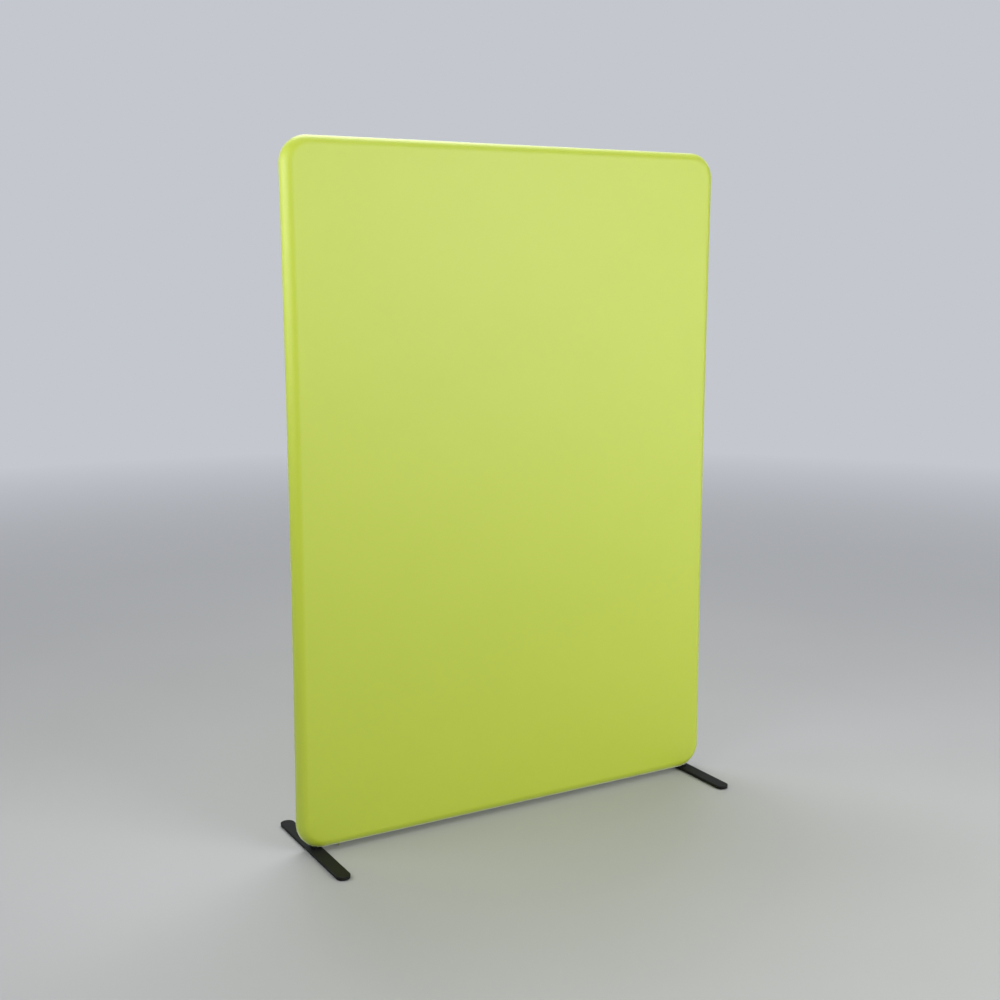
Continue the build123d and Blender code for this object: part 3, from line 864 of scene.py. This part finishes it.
def zip_tape(name, node, side):
    """A centre line that runs out from the coil, bends and climbs the hem, widened by 0.3 mm both
    ways into a closed loop L(k), and carried along X: P = (x, L_y(k), L_z(k))."""
    low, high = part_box(node)
    half_thick, bend = 0.3 * mm, 0.7 * mm
    out = mouth_half - half_thick
    flat = np.linspace(tape_edge, out - bend, 5)[:-1]
    q = np.linspace(0, np.pi / 2, 6)
    climb = np.linspace(zip_level + bend, high.z, 6)[1:]
    bend_y, bend_z = out - bend + bend * np.sin(q), zip_level + bend - bend * np.cos(q)
    line_y = np.concatenate([flat, bend_y, np.full(climb.size, out)])
    line_z = np.concatenate([np.full(flat.size, zip_level), bend_z, climb])
    lean = np.arctan2(np.gradient(line_z), np.gradient(line_y))
    ny, nz = -np.sin(lean), np.cos(lean)
    loop_y = np.concatenate([line_y + half_thick * ny, (line_y - half_thick * ny)[::-1]])
    loop_z = np.concatenate([line_z + half_thick * nz, (line_z - half_thick * nz)[::-1]])
    x = np.linspace(low.x, high.x, tape_points)
    ripple = ripple_height * np.sin(x * ripple_pace)
    grid = np.stack(np.broadcast_arrays(x[:, None], side * loop_y, loop_z + ripple[:, None]), -1)
    ends = [np.broadcast_to(row.mean(0), row.shape)[None] for row in (grid[0], grid[-1])]
    grid = np.concatenate([ends[0], grid, ends[1]])
    along = np.concatenate([[0], np.cumsum(np.hypot(np.diff(loop_y), np.diff(loop_z))), [0.0]])
    along[-1] = along[-2] + 2 * half_thick
    x = np.concatenate([x[:1], x, x[-1:]])
    uv = np.stack(np.broadcast_arrays(x[:, None], along), -1)
    return skin(name, grid, uv)


tapes = [zip_tape(f"woven_tape_{k}", f"zip_tape_{k}", s) for k, s in (("front", -1), ("back", 1))]
print("tape:", round(tapes[0].dimensions.x, 3), "m long")

# %% [markdown]
# ## The zip's teeth
# The teeth of such a zip are a nylon thread wound as a spring. A tube carried along a flattened
# helix is that thread, and it is a little thicker at the head of each turn, where the two halves
# hold each other. The back half starts half a turn later, so that its heads lie between the others.

# %% Wind the coils
coil_pitch = 1.5 * mm
turn_steps = 10
thread_radius = 0.28 * mm
head_swell = 0.18


def tube(path, radius, sides):
    """A round section carried along a path: P = C + r (N cos s + B sin s), with N and B square to
    the path's direction T. The first and last rows shrink to a point, which closes the ends."""
    ahead = np.gradient(path, axis=-2)
    ahead /= np.linalg.norm(ahead, axis=-1, keepdims=True)
    aslant = [0.31, 0.17, 0.93]  # a direction that none of the paths runs along
    across = np.cross(ahead, aslant)
    across /= np.linalg.norm(across, axis=-1, keepdims=True)
    other = np.cross(ahead, across)
    s = np.linspace(0, 2 * np.pi, sides, endpoint=False)[:, None]
    ring = across[..., None, :] * np.cos(s) + other[..., None, :] * np.sin(s)
    grid = path[..., None, :] + np.asarray(radius)[..., None, None] * ring
    one_ring = grid[..., :1, :, :].shape
    ends = [np.broadcast_to(path[..., k, None, None, :], one_ring) for k in (0, -1)]
    return np.concatenate([ends[0], grid, ends[1]], axis=-3)


def coil(name, node, side, start):
    """Helix: x = x0 + p q / 2 pi, y = m + w cos q, z = l + h sin q. Its radius grows by a cube of
    the cosine towards the head, r (1 + a cos(q + pi)^3)."""
    low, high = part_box(node)
    turns = round((high.x - low.x) / coil_pitch) - 1
    q = np.linspace(0, 2 * np.pi * turns, turns * turn_steps + 1) + np.pi
    width = 0.5 * (high.y - low.y) - thread_radius
    rise = 0.5 * (high.z - low.z) - thread_radius
    x = low.x + (start + 0.25) * coil_pitch + coil_pitch * (q - np.pi) / (2 * np.pi)
    y = side * ((abs(low.y) + abs(high.y)) / 2 + width * np.cos(q))
    path = np.stack([x, y, zip_level + rise * np.sin(q)], -1)
    return skin(name, tube(path, thread_radius * (1 + head_swell * np.cos(q + np.pi) ** 3), 5))


coils = [coil("coil_front", "zip_coil_front", -1, 0), coil("coil_back", "zip_coil_back", 1, 0.5)]
print("coil faces:", [len(c.data.polygons) for c in coils])

# %% [markdown]
# ## Holes through the foam
# The foam strip is punched where the spacers of the feet pass through it. A hole through a closed
# piece is Boolean work: four upright drums are taken away from the strip. Equal shapes make one
# array with one axis more, so one helper numbers the quads of all four drums in one go.

# %% Punch the foam strip
def many(name, grids):
    """One object from many small closed grids: all their quads are numbered in one go."""
    count, rows, columns = grids.shape[:3]
    number = np.arange(count * rows * columns).reshape(count, rows, columns)
    number = np.concatenate([number, number[:, :, :1]], axis=2)
    this, after = number[:, :-1], number[:, 1:]
    quads = np.stack([this[..., :-1], this[..., 1:], after[..., 1:], after[..., :-1]], -1)
    mesh = bpy.data.meshes.new(name)
    mesh.from_pydata(grids.reshape(-1, 3), [], quads.reshape(-1, 4))
    work = bmesh.new()
    work.from_mesh(mesh)
    bmesh.ops.remove_doubles(work, verts=work.verts, dist=1e-7)
    bmesh.ops.recalc_face_normals(work, faces=work.faces)
    work.to_mesh(mesh)
    work.free()
    mesh.shade_smooth()
    made = bpy.data.objects.new(name, mesh)
    bpy.context.scene.collection.objects.link(made)
    return made


def drilled(piece, radius):
    """Cuts a hole round each spacer out of a closed piece. The tool is a closed upright drum:
    P = (cx + r cos t, cy + r sin t, z), with its end rows drawn in to a point."""
    below, above = -5, 45  # mm from the panel's bottom
    t = np.linspace(0, 2 * np.pi, 32, endpoint=False)
    r = radius * np.array([0, 1, 1, 0])[:, None]
    z = panel_bottom + np.array([below, below, above, above])[:, None] * mm
    x = spacers[:, 0, None, None] + r * np.cos(t)
    y = spacers[:, 1, None, None] + r * np.sin(t)
    tool = many("drill", np.stack(np.broadcast_arrays(x, y, z), -1))
    cut = piece.modifiers.new("drill", "BOOLEAN")
    cut.object, cut.operation, cut.solver = tool, "DIFFERENCE", "EXACT"
    bpy.context.view_layer.update()
    solid = piece.evaluated_get(bpy.context.evaluated_depsgraph_get())
    mesh = bpy.data.meshes.new_from_object(solid)
    piece.modifiers.clear()
    piece.data = mesh
    bpy.data.objects.remove(tool)


drill_clearance = 0.6 * mm
drilled(strip, spacer_radius + drill_clearance)
print("punched foam strip:", len(strip.data.polygons), "faces")

# %% [markdown]
# ## The hem's stitches
# The hem beside the zip is held by a row of lock stitches. Hundreds of stitches are one small shape
# repeated, so one array holds them all: the curve of one arch of thread is added to a list of
# places, and the helper that made the coils gives every arch its thickness.

# %% Sew the hem
def hem_stitches(name):
    """Each stitch is an arch that starts and ends in the cloth and stands proud of it halfway:
    x = c + l t, z = level(y) + k - j cos(pi t), with t from -1/2 to 1/2."""
    pitch, length = 3.4 * mm, 2.7 * mm
    row = 9.2 * mm  # from the middle of the zip
    sunk, arch, thread = 0.18 * mm, 0.32 * mm, 0.19 * mm
    centre = np.arange(-mouth_end + 2 * pitch, mouth_end - pitch, pitch)
    t = np.linspace(-0.5, 0.5, 7)
    paths = []
    for side in (-1, 1):
        x = centre[:, None] + length * t
        y = np.full(x.shape, side * row)
        z = rim_level(x, y) + sunk - arch * np.cos(np.pi * t)
        paths.append(np.stack([x, y, z], -1))
    paths = np.concatenate(paths)
    return many(name, tube(paths, np.full(paths.shape[:-1], thread), 5))


hem_sewing = hem_stitches("hem_stitches")
print("hem stitches:", len(hem_sewing.data.polygons), "faces")

# %% [markdown]
# ## The bound holes
# A cut edge frays, so the holes for the feet are bound with thread, as a buttonhole is. The binding
# is a low ring that lies on the cloth, and a wave round it stands for the threads side by side.

# %% Bind the holes
def bound_holes(name):
    """A low ring on the cloth: P = (cx + r cos t, cy + r sin t, level - h), r = R + w cos s and
    h = k sin s (1 + a cos n t), where n threads lie side by side round the hole."""
    middle, half_wide, proud = 6.9 * mm, 1.0 * mm, 0.42 * mm
    threads, ridge = 40, 0.22
    t = np.linspace(0, 2 * np.pi, 4 * threads + 1)[:, None]
    s = np.linspace(0, 2 * np.pi, 10, endpoint=False)
    r = middle + half_wide * np.cos(s)
    x = spacers[:, 0, None, None] + r * np.cos(t)
    y = spacers[:, 1, None, None] + r * np.sin(t)
    lift = proud * np.sin(s) * (1 + ridge * np.cos(threads * t))
    return many(name, np.stack([x, y, rim_level(x, y) - lift], -1))


hole_sewing = bound_holes("bound_foot_holes")
print("bound holes:", len(hole_sewing.data.polygons), "faces")

# %% [markdown]
# ## Soft finishes
# Wadding and felt are the same thing at different densities: fibres lying every way. Noise drawn
# out along two crossing directions reads as fibre, and a cell pattern reads as the pores of foam.

# %% Make the wadding, foam and felt
def mottle(tree, shader, factor, low_paint, high_paint, depth, strength, roughness=None):
    """One pattern for two jobs: factor blends two paints and lifts the surface by depth metres."""
    colour = between(tree, factor, paint(*low_paint), paint(*high_paint))
    wire(tree, shader, colour, roughness, bumped(tree, factor, depth, strength))


def fibres(tree, fine):
    """Two sheets of drawn-out noise, turned against each other, of which the higher one shows."""
    sheets = [
        noise(tree, grain_turned(tree, turn, (fine, fine, fine / 9)), 1.0, 3)
        for turn in ((0.3, 0.5, 0), (0.2, -0.9, 0.4))
    ]
    return sums(tree, "MAXIMUM", *sheets)


wadding, tree, shader = finish("white_wadding", Roughness=0.95, Sheen_Weight=0.3)
mottle(tree, shader, fibres(tree, 700), (206, 206, 199), (246, 245, 240), 0.5 * mm, 0.6)

foam, tree, shader = finish("cream_foam", Roughness=0.9)
place = grain_turned(tree)
pores = put(tree, "ShaderNodeTexVoronoi", {"Vector": place, "Scale": 900}).outputs["Distance"]
clouds = sums(tree, "MULTIPLY", noise(tree, place, 25, 3), 0.5)
# painted shade: the sunk pores are painted darker; the clouds are the foam's own uneven tone
tone = sums(tree, "ADD", sums(tree, "MULTIPLY", pores, 0.7), clouds)
colour = between(tree, tone, paint(240, 232, 204), paint(196, 184, 150))
wire(tree, shader, colour, normal=bumped(tree, pores, -0.4 * mm, 0.7))

felt, tree, shader = finish("grey_board_felt", Roughness=0.95, Sheen_Weight=0.2)
fluff = fibres(tree, 450)
speck = stretched(tree, noise(tree, grain_turned(tree), 260, 1.0), 0.62, 0.68)
colour = between(tree, fluff, paint(112, 114, 116), paint(168, 169, 168))
colour = between(tree, speck, colour, paint(70, 74, 80))
wire(tree, shader, colour, normal=bumped(tree, fluff, 0.4 * mm, 0.6))
print("soft finishes:", wadding.name, foam.name, felt.name)

# %% [markdown]
# ## Wood
# Sawn softwood shows its year rings as long wavering stripes. The rings are planes, bent by a slow
# noise, that cut the faces of the board: fine across the grain, drawn out along it. The corner
# blocks are birch plywood, so their plies are stacked through the depth of the frame.

# %% Saw the timber and glue the plywood
def softwood(name, grain, ring=4.5 * mm):
    """Rings: the fraction of (distance across the grain + slow waver) / ring, dark at its end.
    grain is the axis the fibres run along, 0 for X and 2 for Z: the pattern is drawn out on it."""
    made, tree, shader = finish(name, Roughness=0.62, Specular_IOR_Level=0.35)
    slow, fine = [1.0] * 3, [900.0] * 3
    slow[grain], fine[grain] = 0.05, 22.0
    waver = noise(tree, grain_turned(tree, stretch=slow), 9, 2, 0.6)
    axes = put(tree, "ShaderNodeSeparateXYZ", {0: grain_turned(tree)}).outputs
    across = sums(tree, "MULTIPLY_ADD", axes[1], 0.35, sums(tree, "MULTIPLY", axes[2 - grain], 0.9))
    rings = sums(tree, "MULTIPLY_ADD", waver, 5.0, sums(tree, "DIVIDE", across, ring))
    late = sums(tree, "POWER", sums(tree, "FRACT", rings), 2.6)
    pores = noise(tree, grain_turned(tree, stretch=fine), 1.0, 2)
    tone = sums(tree, "MULTIPLY_ADD", pores, 0.35, sums(tree, "MULTIPLY", late, 0.75))
    rough = stretched(tree, tone, 0, 1, 0.7, 0.55)
    mottle(tree, shader, tone, (228, 200, 152), (176, 128, 78), 0.12 * mm, 0.5, rough)
    return made


timber_upright = softwood("softwood_upright", 2)
timber_level = softwood("softwood_level", 0)

plywood, tree, shader = finish("birch_plywood", Roughness=0.58, Specular_IOR_Level=0.35)
place = grain_turned(tree)
ply_thickness = 1.45 * mm
depth = put(tree, "ShaderNodeSeparateXYZ", {0: place}).outputs[1]
ply = sums(tree, "DIVIDE", depth, ply_thickness)
turned = sums(tree, "GREATER_THAN", sums(tree, "FRACT", sums(tree, "MULTIPLY", ply, 0.5)), 0.5)
along_x = noise(tree, grain_turned(tree, stretch=(14, 300, 420)), 1.0, 3)
along_z = noise(tree, grain_turned(tree, stretch=(420, 300, 14)), 1.0, 3)
grain = put(tree, "ShaderNodeMix", {"Factor": turned, 2: along_x, 3: along_z}).outputs[0]
glue = stretched(tree, sums(tree, "FRACT", ply), 0.0, 0.1, 1.0, 0.0)
layer = between(tree, turned, paint(222, 192, 146), paint(188, 146, 98))
colour = between(tree, sums(tree, "MULTIPLY", grain, 0.55), layer, paint(150, 106, 64))
colour = between(tree, sums(tree, "MULTIPLY", glue, 0.8), colour, paint(84, 54, 34))
wire(tree, shader, colour, normal=bumped(tree, grain, 0.08 * mm, 0.5))

beech, tree, shader = finish("beech_dowel", Roughness=0.5)
flecks = noise(tree, grain_turned(tree), 900, 2)
mottle(tree, shader, flecks, (214, 168, 118), (168, 116, 74), 0.05 * mm, 0.5)
print("wood finishes:", [m.name for m in (timber_upright, timber_level, plywood, beech)])

# %% [markdown]
# ## Powder coat
# Powder coat melts into a skin that is satin, slightly pebbled and never quite black. It wears
# first on the rounded edges, where the surface normal turns away from straight up or straight out,
# so the normal's own height tells where the worn patches may lie, and noise breaks them up.

# %% Coat the feet
powder, tree, shader = finish("black_powder_coat", Roughness=0.6, Specular_IOR_Level=0.15)
place = grain_turned(tree)
pebble = noise(tree, place, 650, 2, 0.6)
dust = noise(tree, place, 22, 4, 0.7)
facing = put(tree, "ShaderNodeTexCoord").outputs["Normal"]
slope = put(tree, "ShaderNodeSeparateXYZ", {0: facing}).outputs[2]
nearly_flat, nearly_upright = 0.96, 0.25
not_flat = sums(tree, "LESS_THAN", slope, nearly_flat)
not_upright = sums(tree, "GREATER_THAN", slope, nearly_upright)
edge = sums(tree, "MULTIPLY", not_flat, not_upright)
worn = sums(tree, "MULTIPLY", edge, stretched(tree, noise(tree, place, 60, 3), 0.5, 0.72))
dusty = stretched(tree, dust, 0.35, 0.8, 0, 0.6)
colour = between(tree, dusty, paint(21, 22, 21), paint(33, 35, 32))
colour = between(tree, sums(tree, "MULTIPLY", worn, 0.35), colour, paint(96, 97, 95))
rough = stretched(tree, dust, 0.3, 0.75, 0.56, 0.7)
wire(tree, shader, colour, rough, bumped(tree, pebble, 0.06 * mm, 0.35))
print("powder coat:", len(powder.node_tree.nodes), "nodes")

# %% [markdown]
# ## Metals, lacquer and rubber
# The screws, spacers and inserts are bare or plated metal. They differ in colour and in how rough
# they are, so one function makes them all: colour and gloss drift together, and scratches run one
# way. The zip's metal parts are lacquered to match the cloth, with a few chips. The pads' rubber is
# dull and grainy.

# %% Make the metals, the lacquer and the rubber
def metal(name, light, dark, roughness, metallic=1.0):
    """A metal whose colour and gloss drift with noise and whose skin is finely scratched."""
    made, tree, shader = finish(name, Metallic=metallic)
    cloud = noise(tree, grain_turned(tree), 140, 3)
    scratches = noise(tree, grain_turned(tree, (0, 0, 0.6), (500, 3000, 1500)), 1.0, 2)
    colour = between(tree, cloud, paint(*dark), paint(*light))
    shine = stretched(tree, cloud, 0.25, 0.75, roughness - 0.07, roughness + 0.1)
    wire(tree, shader, colour, shine, bumped(tree, scratches, 0.03 * mm, 0.4))
    return made


zinc = metal("zinc_plated_steel", (206, 208, 210), (170, 172, 178), 0.34)
oxide = metal("black_oxide_steel", (58, 58, 60), (30, 30, 33), 0.38, metallic=0.85)
brass = metal("turned_brass", (222, 188, 116), (186, 150, 82), 0.28)

lacquer, tree, shader = finish(
    "lime_zip_lacquer", Specular_IOR_Level=0.5, Coat_Weight=0.3, Coat_Roughness=0.25
)
place = grain_turned(tree)
cloud = noise(tree, place, 400, 3)
chips = stretched(tree, noise(tree, place, 900, 4, 0.7), 0.66, 0.7)
colour = between(tree, cloud, paint(128, 148, 40), paint(158, 178, 58))
colour = between(tree, chips, colour, paint(168, 168, 164))
rough = stretched(tree, cloud, 0.3, 0.7, 0.3, 0.45)
wire(tree, shader, colour, rough, bumped(tree, cloud, 0.02 * mm, 0.3))

rubber, tree, shader = finish("black_pad_rubber", Roughness=0.86, Specular_IOR_Level=0.3)
speck = noise(tree, grain_turned(tree), 1400, 2)
mottle(tree, shader, speck, (24, 24, 25), (44, 44, 45), 0.1 * mm, 0.6)
print("made:", zinc.name, oxide.name, brass.name, lacquer.name, rubber.name)

# %% [markdown]
# ## Tape, coil and thread
# The tape is woven like the cover, only finer. The coil is smooth nylon that lets a little light
# in. The sewing thread is twisted, so a wave runs slantwise over it. All three are dyed to match.

# %% Dye the tape, the coil and the thread
tape_cloth, tree, shader = finish("lime_zip_tape", Roughness=0.8, Sheen_Weight=0.2)
place = put(tree, "ShaderNodeUVMap", uv_map="cloth").outputs[0]
tape_weave = woven(tree, place, 0.55 * mm)
# painted shade: the weave's low places, between the threads, get the darker colour
mottle(tree, shader, tape_weave, (112, 132, 34), (166, 186, 62), 0.1 * mm, 0.6)

coil_thread, tree, shader = finish(
    "lime_coil_nylon", Roughness=0.32, Specular_IOR_Level=0.5, Coat_Weight=0.15,
    Subsurface_Weight=0.15, Subsurface_Radius=(1.0, 1.0, 0.5), Subsurface_Scale=0.4 * mm,
)
cloud = noise(tree, grain_turned(tree), 300, 2)
mottle(tree, shader, cloud, (150, 172, 48), (182, 202, 78), 0.03 * mm, 0.3)

sewing_thread, tree, shader = finish("lime_sewing_thread", Roughness=0.6, Sheen_Weight=0.3)
place = grain_turned(tree, (0, 0, 0.6), (4200, 700, 700))
wave = {"Vector": place, "Scale": 0.35, "Distortion": 0.6}
twist = put(tree, "ShaderNodeTexWave", wave).outputs["Fac"]
# painted shade: the grooves of the twist are painted darker and its ridges lighter
mottle(tree, shader, twist, (146, 166, 48), (196, 214, 92), 0.05 * mm, 0.6)
print("dyed:", tape_cloth.name, coil_thread.name, sewing_thread.name)

# %% [markdown]
# ## Dress every piece
# Each soft piece rides on the panel's body, stands for its CAD node and takes its finish. The rigid
# CAD nodes keep their shape, and each gets a finish of its own.

# %% Put the pieces and finishes together
for piece, slot, material, nodes in (
    (wadding_front, "face_wadding", wadding, ["padding_front"]),
    (wadding_back, "face_wadding", wadding, ["padding_back"]),
    (strip, "edge_foam", foam, ["padding_edge_strip"]),
    (boards[0], "absorber_felt", felt, ["absorber_upper"]),
    (boards[1], "absorber_felt", felt, ["absorber_lower"]),
    (tapes[0], "zip_tape", tape_cloth, ["zip_tape_front"]),
    (tapes[1], "zip_tape", tape_cloth, ["zip_tape_back"]),
    (coils[0], "zip_coil", coil_thread, ["zip_coil_front"]),
    (coils[1], "zip_coil", coil_thread, ["zip_coil_back"]),
    (hem_sewing, "cover_fabric", sewing_thread, []),
    (hole_sewing, "cover_fabric", sewing_thread, []),
):
    dress(piece, slot, material, *nodes)

for material, nodes in (
    (timber_upright, ["frame_left_stile", "frame_right_stile"]),
    (timber_level, ["frame_top_rail", "frame_bottom_rail", "frame_cross_rail"]),
    (plywood, [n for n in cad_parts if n.startswith("corner_block")]),
    (beech, ["frame_dowels"]),
    (zinc, ["cross_rail_screws"]),
    (powder, ["foot_left", "foot_right"]),
    (rubber, ["foot_pads"]),
    (oxide, ["foot_screws", "foot_spacers"]),
    (brass, ["insert_nuts"]),
    (lacquer, ["zip_stops", "zip_slider", "zip_pull_tab"]),
):
    for node in nodes:
        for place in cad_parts[node].material_slots:
            place.material = material

# %% [markdown]
# ## Eased edges
# No cast or sawn edge is perfectly sharp, and the thin line of light along an edge is what makes a
# piece look real. A CAD mesh comes as loose triangles, so its doubles are welded first, and then a
# small bevel rounds the edges that turn by more than 50 degrees.

# %% Ease the edges of the zip's metal and the timber
metal_easing, timber_easing = 0.22 * mm, 0.9 * mm
sharp_angle = math.radians(50)
timber_names = ("frame_left", "frame_right", "frame_top", "frame_bottom", "frame_cross")
for width, start in (
    (metal_easing, ("zip_slider", "zip_pull_tab", "zip_stops")),
    (timber_easing, (*timber_names, "corner_block")),
):
    for node in [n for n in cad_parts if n.startswith(start)]:
        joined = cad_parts[node].modifiers.new("join", "WELD")
        joined.merge_threshold = 0.001 * mm
        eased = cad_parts[node].modifiers.new("ease", "BEVEL")
        eased.width = width
        eased.segments = 2
        eased.angle_limit = sharp_angle
print("edges eased by", round(metal_easing / mm, 2), "and", round(timber_easing / mm, 2), "mm")
